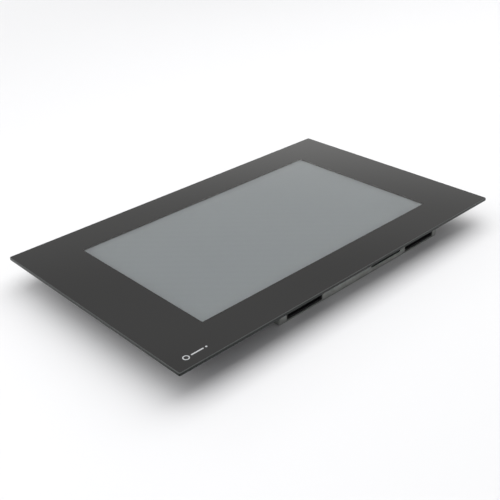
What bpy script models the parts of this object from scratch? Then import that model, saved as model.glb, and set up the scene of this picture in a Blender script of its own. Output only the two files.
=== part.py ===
"""HMI touch panel for a cabinet door, lying on its electronics tray with the glass up.

Frame: x = y = 0 is the middle of the front glass and z = 0 is the tray's rear face.
+Z points out of the front glass, +Y to the top of the screen and +X to its right side.
The pieces stack up from the tray: tray, board, housing, display module, sensor, glass.
"""

import math

import bmesh
import bpy
from mathutils import Matrix, Vector

MM = 0.001

# ---------------------------------------------------------------- driving dimensions
GAP = 0.3 * MM                  # kept between pieces that rest on, or sit in, each other

WINDOW_WIDTH = 223.0 * MM       # clear window in the printed border
WINDOW_HEIGHT = 129.0 * MM

GLASS_THICK = 2.5 * MM
GLASS_OVERHANG_X = 22.0 * MM    # glass beyond the housing at the sides
GLASS_OVERHANG_Y = 12.5 * MM    # and at the top and bottom
GLASS_CORNER = 1.0 * MM
GLASS_CHAMFER = 0.4 * MM

SENSOR_MARGIN = 5.0 * MM        # touch sensor beyond the window, all round
SENSOR_THICK = 0.5 * MM

LCD_MARGIN = 6.5 * MM           # display module beyond the window, all round
LCD_DEPTH = 4.5 * MM
LCD_SHEET = 0.4 * MM
LCD_LIP = 0.5 * MM
CELL_MARGIN = 2.0 * MM          # liquid crystal cell beyond the window
CELL_THICK = 1.1 * MM
FILM_THICK = 0.5 * MM
GUIDE_THICK = 0.8 * MM
LED_BAR_LENGTH = 220.0 * MM
LED_BAR_WIDTH = 2.5 * MM
DRIVER_BOARD_LENGTH = 200.0 * MM
DRIVER_BOARD_WIDTH = 3.5 * MM

HOUSING_WALL = 1.5 * MM         # the housing goes through the cabinet cut-out
HOUSING_CORNER = 4.0 * MM
HOUSING_PLAY = 1.2 * MM         # round the display module
HOUSING_RAIL = 8.8 * MM         # upper and lower rails, outside the display bay

GASKET_THICK = 1.0 * MM
GASKET_EDGE = 3.0 * MM          # gasket's outer edge inside the glass edge
GASKET_PLAY = 2.5 * MM          # gasket's inner edge outside the housing

TRAY_WIDTH = 171.0 * MM
TRAY_SETBACK = 2.5 * MM         # tray's top and bottom inside the housing's
TRAY_SHIFT = 25.5 * MM          # tray's middle to the right of the glass's middle
TRAY_SHEET = 1.0 * MM
TRAY_BEND = 1.5 * MM
TAB_REACH = 9.0 * MM
TAB_WIDTH = 16.0 * MM
TAB_SPREAD = 30.0 * MM          # tabs above and below the middle of each short wall

POLES = 9
POLE_PITCH = 3.5 * MM
HEADER_ENDS = 2.2 * MM          # both ends together
HEADER_HEIGHT = 7.0 * MM
HEADER_DEPTH = 9.2 * MM
HEADER_SHELL = 1.0 * MM
PIN_SIZE = 1.0 * MM
PIN_REACH = 3.2 * MM
TERMINAL_SILL = 2.0 * MM        # terminal windows above the tray's rear face
POWER_END = 6.75 * MM           # tray's left end to the power window
SIGNAL_END = 5.25 * MM          # signal window to the tray's right end

SERVICE_WINDOW_WIDTH = 33.0 * MM
SERVICE_SPACE = 5.55 * MM       # service window to the signal window
SERVICE_SILL = 4.5 * MM

BOARD_THICK = 1.6 * MM
BOARD_PLAY = 0.4 * MM           # board inside the tray's walls
BOARD_ROOM = 1.1 * MM           # board to the tray's rim
STANDOFF_INSET = 8.0 * MM
STANDOFF_LOW_INSET = 18.0 * MM  # the lower pair stands clear of the headers
STANDOFF_FLATS = 5.5 * MM

CARD_WIDTH = 11.0 * MM
CARD_LENGTH = 15.0 * MM
CARD_THICK = 0.9 * MM
CARD_GRIP = 1.0 * MM            # card standing out of its socket
CARD_OFFSET = -7.4 * MM         # card from the service window's middle
SOCKET_SHELL = 0.4 * MM
SOCKET_SIDE = 1.2 * MM

USB_OFFSET = 4.6 * MM
USB_WIDTH = 7.4 * MM
USB_HEIGHT = 2.6 * MM
USB_DEPTH = 5.5 * MM
USB_SHELL = 0.4 * MM

RESET_OFFSET = 12.6 * MM
RESET_BODY = 3.6 * MM
RESET_BODY_HEIGHT = 3.0 * MM
RESET_STEM_RADIUS = 0.8 * MM
RESET_STEM_LENGTH = 3.1 * MM
RESET_TRAVEL = 0.4 * MM

CLAMP_SPREAD = 55.0 * MM        # clamps above and below the middle of each short side
POCKET_WALL = 1.5 * MM          # between a clamp pocket and the display bay
POCKET_MOUTH = 3.0 * MM         # a pawl at rest lies this far inside the housing's side
PAWL_WIDTH = 7.0 * MM
PAWL_REACH = 12.5 * MM          # screw axis to the pawl's tip
PAWL_THICK = 3.0 * MM
THICKEST_PANEL = 6.0 * MM
POCKET_ROOF = 2.0 * MM
CLAMP_THREAD_RADIUS = 2.0 * MM
CLAMP_HEAD_RADIUS = 3.5 * MM
CLAMP_HEAD_HEIGHT = 2.8 * MM

M3_RADIUS = 1.5 * MM
M3_HEAD_RADIUS = 2.8 * MM
M3_HEAD_HEIGHT = 1.6 * MM
M25_RADIUS = 1.25 * MM
M25_HEAD_RADIUS = 2.6 * MM
STUD_RADIUS = 2.0 * MM
STUD_LENGTH = 8.5 * MM
STUD_HEAD_RADIUS = 3.5 * MM
STUD_Y = -35.0 * MM
NUT_FLATS = 7.0 * MM
NUT_THICK = 3.2 * MM

EYE_X = -6.4 * MM               # ambient light sensor
LAMP_X = 1.4 * MM               # status lamp
EYE_INSET = 3.8 * MM            # both below the housing's upper face

RIBBON_THICK = 0.2 * MM
RIBBON_SLOT = 1.2 * MM
VENT_COUNT = 10
VENT_PITCH = 6.0 * MM
VENT_WIDTH = 2.0 * MM
VENT_LENGTH = 14.0 * MM
VENT_EDGE = 20.0 * MM           # vent rows inside the tray's top and bottom walls

# ---------------------------------------------------------------- levels along Z
header_low = TERMINAL_SILL + GAP
header_top = header_low + HEADER_HEIGHT
board_low = header_top + GAP
board_top = board_low + BOARD_THICK
tray_rim = board_top + BOARD_ROOM
housing_back = tray_rim + GAP
housing_floor = housing_back + HOUSING_WALL
lcd_back = housing_floor + GAP
lcd_inside = lcd_back + LCD_SHEET + GAP
lcd_front = lcd_back + LCD_DEPTH
sensor_back = lcd_front + GAP
sensor_front = sensor_back + SENSOR_THICK
glass_back = sensor_front + GAP
glass_front = glass_back + GLASS_THICK
housing_front = glass_back - GAP
gasket_back = housing_front - GASKET_THICK
part_top = board_low - GAP      # top of what hangs under the board

# ---------------------------------------------------------------- outlines in X and Y
lcd_x = WINDOW_WIDTH / 2 + LCD_MARGIN
lcd_y = WINDOW_HEIGHT / 2 + LCD_MARGIN
cell_x = WINDOW_WIDTH / 2 + CELL_MARGIN
cell_y = WINDOW_HEIGHT / 2 + CELL_MARGIN
cavity_x = lcd_x + HOUSING_PLAY
cavity_y = lcd_y + HOUSING_PLAY
pocket_inner = cavity_x + POCKET_WALL
clamp_x = pocket_inner + GAP + PAWL_WIDTH / 2
housing_x = clamp_x + PAWL_WIDTH / 2 + POCKET_MOUTH
housing_y = cavity_y + HOUSING_RAIL
glass_x = housing_x + GLASS_OVERHANG_X
glass_y = housing_y + GLASS_OVERHANG_Y
eye_y = housing_y - EYE_INSET
tray_left = TRAY_SHIFT - TRAY_WIDTH / 2
tray_right = TRAY_SHIFT + TRAY_WIDTH / 2
tray_low = TRAY_SETBACK - housing_y
tray_high = housing_y - TRAY_SETBACK
board_left = tray_left + TRAY_SHEET + BOARD_PLAY
board_right = tray_right - TRAY_SHEET - BOARD_PLAY
board_bottom = tray_low + TRAY_SHEET + BOARD_PLAY
board_upper = tray_high - TRAY_SHEET - BOARD_PLAY
socket_face = tray_low + GAP    # fronts of the headers and sockets, in the tray's wall
header_width = POLES * POLE_PITCH + HEADER_ENDS
terminal_window = header_width + 2 * GAP
power_header_x = tray_left + POWER_END + terminal_window / 2
signal_header_x = tray_right - SIGNAL_END - terminal_window / 2
service_x = signal_header_x - terminal_window / 2 - SERVICE_SPACE - SERVICE_WINDOW_WIDTH / 2


# ---------------------------------------------------------------- scene and materials
for old in list(bpy.data.objects):
    bpy.data.objects.remove(old, do_unlink=True)

pieces = bpy.data.collections.new("hmi_touch_panel")
cutters = bpy.data.collections.new("cutters")
bpy.context.scene.collection.children.link(pieces)
bpy.context.scene.collection.children.link(cutters)


def paint(name, colour, roughness, metallic=0.0):
    """A plain Principled material."""
    material = bpy.data.materials.new(name)
    material.use_nodes = True
    shader = material.node_tree.nodes["Principled BSDF"]
    shader.inputs["Base Color"].default_value = (*colour, 1.0)
    shader.inputs["Roughness"].default_value = roughness
    shader.inputs["Metallic"].default_value = metallic
    material.diffuse_color = (*colour, 1.0)
    return material


cover_paint = paint("printed_cover_glass", (0.05, 0.05, 0.052), 0.12)
sensor_paint = paint("sensor_glass", (0.30, 0.34, 0.36), 0.10)
film_paint = paint("white_optical_film", (0.80, 0.82, 0.82), 0.50)
cell_paint = paint("display_cell", (0.24, 0.27, 0.29), 0.20)
steel_paint = paint("galvanised_sheet", (0.55, 0.57, 0.55), 0.38, 1.0)
bright_paint = paint("plated_fastener", (0.68, 0.68, 0.70), 0.30, 1.0)
housing_paint = paint("black_moulding", (0.030, 0.030, 0.032), 0.55)
foam_paint = paint("black_foam", (0.018, 0.018, 0.018), 0.90)
board_paint = paint("circuit_board", (0.020, 0.110, 0.060), 0.40)
chip_paint = paint("chip_package", (0.020, 0.020, 0.022), 0.45)
header_paint = paint("header_plastic", (0.012, 0.012, 0.013), 0.50)
flex_paint = paint("polyimide_film", (0.45, 0.22, 0.05), 0.35)
alloy_paint = paint("bare_aluminium", (0.75, 0.76, 0.77), 0.35, 1.0)
clamp_paint = paint("cast_zinc", (0.50, 0.51, 0.53), 0.42, 1.0)
white_paint = paint("white_plastic", (0.75, 0.75, 0.72), 0.45)


# ---------------------------------------------------------------- shape helpers
def place(name, bm, material, home=(0.0, 0.0, 0.0), group=None):
    """Turn a bmesh in world coordinates into an object whose origin is home."""
    bmesh.ops.translate(bm, verts=bm.verts, vec=-Vector(home))
    bmesh.ops.recalc_face_normals(bm, faces=bm.faces)
    mesh = bpy.data.meshes.new(name)
    bm.to_mesh(mesh)
    bm.free()
    item = bpy.data.objects.new(name, mesh)
    item.location = home
    if group is None:
        group = pieces
    group.objects.link(item)
    if material is not None:
        mesh.materials.append(material)
    return item


def add_box(bm, low, high):
    """Add a box between two opposite corners and return its vertices."""
    low, high = Vector(low), Vector(high)
    made = bmesh.ops.create_cube(bm, size=1.0)["verts"]
    size = high - low
    bmesh.ops.scale(bm, vec=size, verts=made)
    bmesh.ops.translate(bm, vec=(low + high) / 2, verts=made)
    return made


def add_rod(bm, start, end, radius, sides=20, flat_radius=False):
    """Add a rod between two points. flat_radius makes radius the distance to its flats."""
    start, end = Vector(start), Vector(end)
    if flat_radius:
        radius = radius / math.cos(math.pi / sides)
    length = (end - start).length
    turn = Vector((0.0, 0.0, 1.0)).rotation_difference(end - start).to_matrix().to_4x4()
    matrix = Matrix.Translation((start + end) / 2) @ turn
    bmesh.ops.create_cone(bm, cap_ends=True, segments=sides, radius1=radius,
                          radius2=radius, depth=length, matrix=matrix)


def bevel_edges(bm, chosen, width, steps):
    """Bevel the edges for which chosen(edge) is true."""
    edges = [edge for edge in bm.edges if chosen(edge)]
    bmesh.ops.bevel(bm, geom=edges, offset=width, segments=steps, profile=0.5,
                    affect="EDGES", clamp_overlap=True)


def upright(edge):
    """True for an edge along Z."""
    one, two = (vert.co for vert in edge.verts)
    return (one - two).xy.length < 1e-7


def slab(low, high, corner=0.0, steps=4, chamfer=0.0):
    """A bmesh plate with rounded upright corners and, if asked, chamfered faces."""
    bm = bmesh.new()
    add_box(bm, low, high)
    if corner > 0.0:
        bevel_edges(bm, upright, corner, steps)
    if chamfer > 0.0:
        bevel_edges(bm, lambda edge: abs(edge.verts[0].co.z - edge.verts[1].co.z) < 1e-7
                    and not edge.is_boundary and edge.calc_face_angle(0.0) > 1.0, chamfer, 1)
    return bm


def block(name, low, high, material, home=(0.0, 0.0, 0.0), corner=0.0, steps=4, chamfer=0.0):
    """A finished rectangular piece."""
    return place(name, slab(low, high, corner, steps, chamfer), material, home)


def rod(name, start, end, radius, material, home=(0.0, 0.0, 0.0), sides=20, flat_radius=False):
    """A finished round or hexagonal piece."""
    bm = bmesh.new()
    add_rod(bm, start, end, radius, sides, flat_radius)
    item = place(name, bm, material, home)
    if sides > 8:
        item.data.shade_smooth()
        item.data.set_sharp_from_angle(angle=math.radians(40.0))
    return item


def combine(target, bm, operation, label):
    """Cut bm from the target, or join it on, with a Boolean modifier."""
    tool = place(target.name + "_" + label, bm, None, group=cutters)
    tool.hide_render = True
    tool.display_type = "WIRE"
    change = target.modifiers.new(label, "BOOLEAN")
    change.operation = operation
    change.solver = "EXACT"
    change.object = tool


def turned(name, profile, foot, axis, material, home=None, sides=20):
    """A solid of revolution. profile runs top to bottom as (radius, height) on the axis."""
    bm = bmesh.new()
    points = [bm.verts.new((radius, 0.0, height)) for radius, height in profile]
    for one, two in zip(points, points[1:]):
        bm.edges.new((one, two))
    mesh = bpy.data.meshes.new(name)
    bm.to_mesh(mesh)
    bm.free()
    mesh.materials.append(material)
    item = bpy.data.objects.new(name, mesh)
    turn = Vector((0.0, 0.0, 1.0)).rotation_difference(Vector(axis))
    item.rotation_mode = "QUATERNION"
    item.rotation_quaternion = turn
    item.location = foot
    pieces.objects.link(item)
    screw = item.modifiers.new("turn", "SCREW")
    screw.steps = sides
    screw.render_steps = sides
    screw.use_merge_vertices = True
    screw.merge_threshold = 0.00001
    return item


# ---------------------------------------------------------------- front glass
block("front_glass",
      (-glass_x, -glass_y, glass_back), (glass_x, glass_y, glass_front),
      cover_paint, corner=GLASS_CORNER, steps=6, chamfer=GLASS_CHAMFER)


# ---------------------------------------------------------------- touch sensor and its tail
sensor_x = WINDOW_WIDTH / 2 + SENSOR_MARGIN
sensor_y = WINDOW_HEIGHT / 2 + SENSOR_MARGIN
block("touch_sensor", (-sensor_x, -sensor_y, sensor_back), (sensor_x, sensor_y, sensor_front),
      sensor_paint)

TOUCH_TAIL_X = 60.0 * MM
TOUCH_TAIL_WIDTH = 20.0 * MM
tail_y = -(lcd_y + HOUSING_PLAY / 2)        # the tail runs down between display and housing
tail_level = (sensor_back + sensor_front) / 2
touch_flex = block(
    "touch_flex",
    (TOUCH_TAIL_X - TOUCH_TAIL_WIDTH / 2, tail_y - RIBBON_THICK / 2, board_top + GAP),
    (TOUCH_TAIL_X + TOUCH_TAIL_WIDTH / 2, tail_y + RIBBON_THICK / 2,
     tail_level + RIBBON_THICK / 2),
    flex_paint)
tail_top = slab(
    (TOUCH_TAIL_X - TOUCH_TAIL_WIDTH / 2, tail_y - RIBBON_THICK / 2,
     tail_level - RIBBON_THICK / 2),
    (TOUCH_TAIL_X + TOUCH_TAIL_WIDTH / 2, -sensor_y - GAP, tail_level + RIBBON_THICK / 2))
combine(touch_flex, tail_top, "UNION", "fold")


# ---------------------------------------------------------------- panel gasket
gasket = block("panel_gasket",
               (GASKET_EDGE - glass_x, GASKET_EDGE - glass_y, gasket_back),
               (glass_x - GASKET_EDGE, glass_y - GASKET_EDGE, gasket_back + GASKET_THICK),
               foam_paint, corner=GASKET_EDGE)
gasket_inside = slab((-housing_x - GASKET_PLAY, -housing_y - GASKET_PLAY, gasket_back - GAP),
                     (housing_x + GASKET_PLAY, housing_y + GASKET_PLAY, glass_back),
                     corner=HOUSING_CORNER)
combine(gasket, gasket_inside, "DIFFERENCE", "inside")


# ---------------------------------------------------------------- display housing
housing = block("display_housing", (-housing_x, -housing_y, housing_back),
                (housing_x, housing_y, housing_front), housing_paint,
                corner=HOUSING_CORNER, steps=5)
cavity = slab((-cavity_x, -cavity_y, housing_floor), (cavity_x, cavity_y, glass_front),
              corner=HOUSING_PLAY, steps=3)
combine(housing, cavity, "DIFFERENCE", "display_bay")

# pockets for the clamps, open to the side and to the rear
pawl_front = gasket_back - THICKEST_PANEL - GAP
pocket_roof = housing_front - POCKET_ROOF
pockets = bmesh.new()
thread_holes = bmesh.new()
for side in (-1, 1):
    for end in (-1, 1):
        near = pocket_inner * side
        far = (housing_x + PAWL_WIDTH) * side
        inner = (CLAMP_SPREAD - PAWL_REACH - 3 * GAP) * end
        outer = (CLAMP_SPREAD + PAWL_WIDTH / 2 + 3 * GAP) * end
        add_box(pockets, (min(near, far), min(inner, outer), housing_back - PAWL_THICK),
                (max(near, far), max(inner, outer), pocket_roof))
        centre = Vector((clamp_x * side, CLAMP_SPREAD * end, 0.0))
        add_rod(thread_holes, centre + Vector((0, 0, pocket_roof - GAP)),
                centre + Vector((0, 0, housing_front - 2 * GAP)), CLAMP_THREAD_RADIUS + GAP)
combine(housing, pockets, "DIFFERENCE", "clamp_pockets")
combine(housing, thread_holes, "DIFFERENCE", "clamp_threads")

# pocket for the sensor board in the upper rail, open to the glass
EYE_BOARD_LOW = 2.8 * MM        # board's edge below the eye
EYE_BOARD_HIGH = 2.0 * MM
EYE_BOARD_SIDE = 6.0 * MM       # board beyond the eye and the lamp
EYE_BOARD_THICK = 0.8 * MM
EYE_BOARD_DROP = 2.4 * MM       # board's front below the housing's front
eye_board_low = (EYE_X - EYE_BOARD_SIDE, eye_y - EYE_BOARD_LOW,
                 housing_front - EYE_BOARD_DROP - EYE_BOARD_THICK)
eye_board_high = (LAMP_X + EYE_BOARD_SIDE, eye_y + EYE_BOARD_HIGH,
                  housing_front - EYE_BOARD_DROP)
eye_pocket = slab(tuple(value - GAP for value in eye_board_low),
                  (eye_board_high[0] + GAP, eye_board_high[1] + GAP, glass_back))
combine(housing, eye_pocket, "DIFFERENCE", "eye_pocket")

# slots for the three ribbons, and tapped holes for the tray's screws
LCD_TAIL_X = -20.0 * MM
LCD_TAIL_WIDTH = 30.0 * MM
EYE_TAIL_WIDTH = 6.0 * MM
lcd_tail_y = cell_y + GAP + DRIVER_BOARD_WIDTH / 2
eye_tail_x = (EYE_X + LAMP_X) / 2
eye_tail_y = eye_y - EYE_BOARD_LOW + RIBBON_SLOT
ribbon_slots = bmesh.new()
for middle_x, middle_y, width in ((TOUCH_TAIL_X, tail_y, TOUCH_TAIL_WIDTH),
                                  (LCD_TAIL_X, lcd_tail_y, LCD_TAIL_WIDTH)):
    add_box(ribbon_slots,
            (middle_x - width / 2 - 2 * GAP, middle_y - RIBBON_SLOT / 2, housing_back - GAP),
            (middle_x + width / 2 + 2 * GAP, middle_y + RIBBON_SLOT / 2, lcd_back))
add_box(ribbon_slots,
        (eye_tail_x - EYE_TAIL_WIDTH / 2 - 2 * GAP, eye_tail_y - RIBBON_SLOT / 2,
         housing_back - GAP),
        (eye_tail_x + EYE_TAIL_WIDTH / 2 + 2 * GAP, eye_tail_y + RIBBON_SLOT / 2,
         eye_board_low[2]))
combine(housing, ribbon_slots, "DIFFERENCE", "ribbon_slots")

tab_places = [Vector((edge + side * TAB_REACH / 2, end * TAB_SPREAD, 0.0))
              for side, edge in ((-1, tray_left), (1, tray_right)) for end in (-1, 1)]
tray_threads = bmesh.new()
for spot in tab_places:
    add_rod(tray_threads, spot + Vector((0, 0, housing_back - GAP)),
            spot + Vector((0, 0, lcd_back)), M3_RADIUS + GAP, sides=16)
combine(housing, tray_threads, "DIFFERENCE", "tray_threads")


# ---------------------------------------------------------------- display module
bezel = block("lcd_bezel", (-lcd_x, -lcd_y, lcd_inside), (lcd_x, lcd_y, lcd_front), steel_paint)
bezel_inside = slab((LCD_SHEET - lcd_x, LCD_SHEET - lcd_y, lcd_back),
                    (lcd_x - LCD_SHEET, lcd_y - LCD_SHEET, lcd_front - LCD_LIP))
combine(bezel, bezel_inside, "DIFFERENCE", "inside")
view_x = WINDOW_WIDTH / 2 + 2 * GAP
view_y = WINDOW_HEIGHT / 2 + 2 * GAP
bezel_view = slab((-view_x, -view_y, lcd_back), (view_x, view_y, glass_front))
combine(bezel, bezel_view, "DIFFERENCE", "view")

cell_front = lcd_front - LCD_LIP - GAP
film_front = cell_front - CELL_THICK - GAP
block("lcd_cell", (-cell_x, -cell_y, cell_front - CELL_THICK), (cell_x, cell_y, cell_front),
      cell_paint)
block("diffuser_film", (-cell_x, -cell_y, film_front - FILM_THICK), (cell_x, cell_y, film_front),
      film_paint)
block("light_guide", (-cell_x, -cell_y, lcd_inside), (cell_x, cell_y, lcd_inside + GUIDE_THICK),
      film_paint)
block("led_bar",
      (-LED_BAR_LENGTH / 2, -cell_y - GAP - LED_BAR_WIDTH, lcd_inside),
      (LED_BAR_LENGTH / 2, -cell_y - GAP, lcd_inside + GUIDE_THICK),
      white_paint)
block("lcd_driver_board",
      (-DRIVER_BOARD_LENGTH / 2, cell_y + GAP, lcd_inside),
      (DRIVER_BOARD_LENGTH / 2, cell_y + GAP + DRIVER_BOARD_WIDTH, lcd_inside + GUIDE_THICK),
      board_paint)
back_plate = block("lcd_back_plate", (-lcd_x, -lcd_y, lcd_back),
                   (lcd_x, lcd_y, lcd_back + LCD_SHEET), steel_paint)
plate_slot = slab((LCD_TAIL_X - LCD_TAIL_WIDTH / 2 - 2 * GAP, lcd_tail_y - RIBBON_SLOT / 2,
                   housing_floor),
                  (LCD_TAIL_X + LCD_TAIL_WIDTH / 2 + 2 * GAP, lcd_tail_y + RIBBON_SLOT / 2,
                   lcd_inside))
combine(back_plate, plate_slot, "DIFFERENCE", "ribbon_slot")
block("lcd_flex",
      (LCD_TAIL_X - LCD_TAIL_WIDTH / 2, lcd_tail_y - RIBBON_THICK / 2, board_top + GAP),
      (LCD_TAIL_X + LCD_TAIL_WIDTH / 2, lcd_tail_y + RIBBON_THICK / 2, lcd_inside - GAP),
      flex_paint)


# ---------------------------------------------------------------- light sensor and status lamp
EYE_SIZE = 2.0 * MM
EYE_HEIGHT = 1.0 * MM
LAMP_SIZE = 1.6 * MM
LAMP_HEIGHT = 0.8 * MM
eye_foot = eye_board_high[2] + GAP
block("sensor_board", eye_board_low, eye_board_high, board_paint)
block("light_sensor",
      (EYE_X - EYE_SIZE / 2, eye_y - EYE_SIZE / 2, eye_foot),
      (EYE_X + EYE_SIZE / 2, eye_y + EYE_SIZE / 2, eye_foot + EYE_HEIGHT), chip_paint)
block("status_led",
      (LAMP_X - LAMP_SIZE / 2, eye_y - LAMP_SIZE / 2, eye_foot),
      (LAMP_X + LAMP_SIZE / 2, eye_y + LAMP_SIZE / 2, eye_foot + LAMP_HEIGHT), white_paint)
block("sensor_cable",
      (eye_tail_x - EYE_TAIL_WIDTH / 2, eye_tail_y - RIBBON_THICK / 2, board_top + GAP),
      (eye_tail_x + EYE_TAIL_WIDTH / 2, eye_tail_y + RIBBON_THICK / 2, eye_board_low[2] - GAP),
      flex_paint)


# ---------------------------------------------------------------- rear tray
def below(level):
    """Choose the upright edges and the edges at the foot, but not those at the rim."""
    return lambda edge: not all(vert.co.z > level for vert in edge.verts)


tray_shape = bmesh.new()
add_box(tray_shape, (tray_left, tray_low, 0.0), (tray_right, tray_high, tray_rim))
bevel_edges(tray_shape, below(tray_rim / 2), TRAY_BEND, 3)
tray = place("rear_tray", tray_shape, steel_paint)

tabs = bmesh.new()
for spot in tab_places:
    add_box(tabs,
            (spot.x - TAB_REACH / 2 - TRAY_SHEET / 2, spot.y - TAB_WIDTH / 2,
             tray_rim - TRAY_SHEET),
            (spot.x + TAB_REACH / 2 + TRAY_SHEET / 2, spot.y + TAB_WIDTH / 2, tray_rim))
bevel_edges(tabs, upright, TRAY_SHEET / 2 - GAP / 2, 2)
combine(tray, tabs, "UNION", "tabs")

tray_inside = bmesh.new()
add_box(tray_inside,
        (tray_left + TRAY_SHEET, tray_low + TRAY_SHEET, TRAY_SHEET),
        (tray_right - TRAY_SHEET, tray_high - TRAY_SHEET, glass_back))
bevel_edges(tray_inside, below(tray_rim), TRAY_BEND - TRAY_SHEET, 2)
combine(tray, tray_inside, "DIFFERENCE", "inside")

windows = bmesh.new()
for middle, width, sill in ((power_header_x, terminal_window, TERMINAL_SILL),
                            (service_x, SERVICE_WINDOW_WIDTH, SERVICE_SILL),
                            (signal_header_x, terminal_window, TERMINAL_SILL)):
    add_box(windows, (middle - width / 2, tray_low - TRAY_SHEET, sill),
            (middle + width / 2, tray_low + 2 * TRAY_SHEET, board_low))
combine(tray, windows, "DIFFERENCE", "windows")

vents = bmesh.new()
for row in (tray_low + VENT_EDGE, tray_high - VENT_EDGE):
    for index in range(VENT_COUNT):
        middle = TRAY_SHIFT + (index - (VENT_COUNT - 1) / 2) * VENT_PITCH
        add_box(vents, (middle - VENT_WIDTH / 2, row - VENT_LENGTH / 2, -TRAY_SHEET),
                (middle + VENT_WIDTH / 2, row + VENT_LENGTH / 2, 2 * TRAY_SHEET))
bevel_edges(vents, upright, 0.48 * VENT_WIDTH, 3)
combine(tray, vents, "DIFFERENCE", "vents")

standoff_places = [Vector((x, y, 0.0))
                   for x in (board_left + STANDOFF_INSET, board_right - STANDOFF_INSET)
                   for y in (board_bottom + STANDOFF_LOW_INSET, board_upper - STANDOFF_INSET)]
stud_z = (header_low + part_top) / 2
screw_holes = bmesh.new()
for spot in standoff_places:
    bmesh.ops.create_cone(screw_holes, cap_ends=True, segments=20,
                          radius1=M25_HEAD_RADIUS + 2 * GAP, radius2=M25_RADIUS + GAP,
                          depth=1.5 * TRAY_SHEET,
                          matrix=Matrix.Translation(spot + Vector((0, 0, TRAY_SHEET / 2))))
for spot in tab_places:
    add_rod(screw_holes, spot + Vector((0, 0, tray_rim - 2 * TRAY_SHEET)),
            spot + Vector((0, 0, tray_rim + TRAY_SHEET)), M3_RADIUS + GAP, sides=16)
add_rod(screw_holes, (tray_right - 2 * TRAY_SHEET, STUD_Y, stud_z),
        (tray_right + TRAY_SHEET, STUD_Y, stud_z), STUD_RADIUS + GAP, sides=16)
combine(tray, screw_holes, "DIFFERENCE", "screw_holes")


# ---------------------------------------------------------------- tray screws
# pan head under the tab, shank up into the housing's floor
for number, spot in enumerate(tab_places, start=1):
    head_top = tray_rim - TRAY_SHEET - GAP
    profile = [(0.0, housing_floor), (M3_RADIUS, housing_floor), (M3_RADIUS, head_top),
               (M3_HEAD_RADIUS, head_top),
               (M3_HEAD_RADIUS, head_top - 0.6 * M3_HEAD_HEIGHT),
               (0.75 * M3_HEAD_RADIUS, head_top - M3_HEAD_HEIGHT),
               (0.0, head_top - M3_HEAD_HEIGHT)]
    turned(f"tray_screw_{number}", profile, spot, (0, 0, 1), bright_paint)


# ---------------------------------------------------------------- main board and its standoffs
block("main_board", (board_left, board_bottom, board_low), (board_right, board_upper, board_top),
      board_paint)

HEAD_SINK = 0.1 * MM            # screw heads lie this far inside the tray's rear face
for number, spot in enumerate(standoff_places, start=1):
    standoff = rod(f"board_standoff_{number}", spot + Vector((0, 0, TRAY_SHEET + GAP)),
                   spot + Vector((0, 0, part_top)), STANDOFF_FLATS / 2, bright_paint,
                   sides=6, flat_radius=True)
    bore = bmesh.new()
    add_rod(bore, spot, spot + Vector((0, 0, board_top)), M25_RADIUS + GAP, sides=16)
    combine(standoff, bore, "DIFFERENCE", "thread")
    head_top = TRAY_SHEET + HEAD_SINK
    profile = [(0.0, part_top - 2.0 * MM), (M25_RADIUS, part_top - 2.0 * MM),
               (M25_RADIUS, head_top), (M25_HEAD_RADIUS, 2 * HEAD_SINK),
               (M25_HEAD_RADIUS, HEAD_SINK), (0.0, HEAD_SINK)]
    turned(f"board_screw_{number}", profile, spot, (0, 0, 1), bright_paint)


# ---------------------------------------------------------------- terminal headers
for name, middle in (("power_header", power_header_x), ("signal_header", signal_header_x)):
    left = middle - header_width / 2
    right = middle + header_width / 2
    header = block(name, (left, socket_face, header_low),
                   (right, socket_face + HEADER_DEPTH, header_top), header_paint)
    mouth_end = socket_face + HEADER_DEPTH - 1.5 * HEADER_SHELL
    mouth = slab((left + HEADER_SHELL, socket_face - HEADER_SHELL, header_low + HEADER_SHELL),
                 (right - HEADER_SHELL, mouth_end, header_top - HEADER_SHELL))
    combine(header, mouth, "DIFFERENCE", "mouth")
    pins = bmesh.new()
    pin_z = (header_low + header_top) / 2
    for pole in range(POLES):
        pin_x = middle + (pole - (POLES - 1) / 2) * POLE_PITCH
        add_box(pins, (pin_x - PIN_SIZE / 2, mouth_end - PIN_REACH, pin_z - PIN_SIZE / 2),
                (pin_x + PIN_SIZE / 2, mouth_end + HEADER_SHELL / 2, pin_z + PIN_SIZE / 2))
    combine(header, pins, "UNION", "pins")


# ---------------------------------------------------------------- memory card and its socket
card_x = service_x + CARD_OFFSET
socket_low = part_top - CARD_THICK - 2 * GAP - 2 * SOCKET_SHELL
card_low = socket_low + SOCKET_SHELL + GAP
slot_end = socket_face - CARD_GRIP + CARD_LENGTH + GAP
card_socket = block("card_socket",
                    (card_x - CARD_WIDTH / 2 - GAP - SOCKET_SIDE, socket_face, socket_low),
                    (card_x + CARD_WIDTH / 2 + GAP + SOCKET_SIDE, slot_end + SOCKET_SIDE,
                     part_top), steel_paint)
card_slot = slab((card_x - CARD_WIDTH / 2 - GAP, socket_face - GAP, card_low - GAP),
                 (card_x + CARD_WIDTH / 2 + GAP, slot_end, card_low + CARD_THICK + GAP))
combine(card_socket, card_slot, "DIFFERENCE", "slot")
card_face = socket_face - CARD_GRIP
block("memory_card", (card_x - CARD_WIDTH / 2, card_face, card_low),
      (card_x + CARD_WIDTH / 2, card_face + CARD_LENGTH, card_low + CARD_THICK),
      chip_paint, home=(card_x, card_face, card_low + CARD_THICK / 2), corner=0.8 * MM, steps=2)


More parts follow.
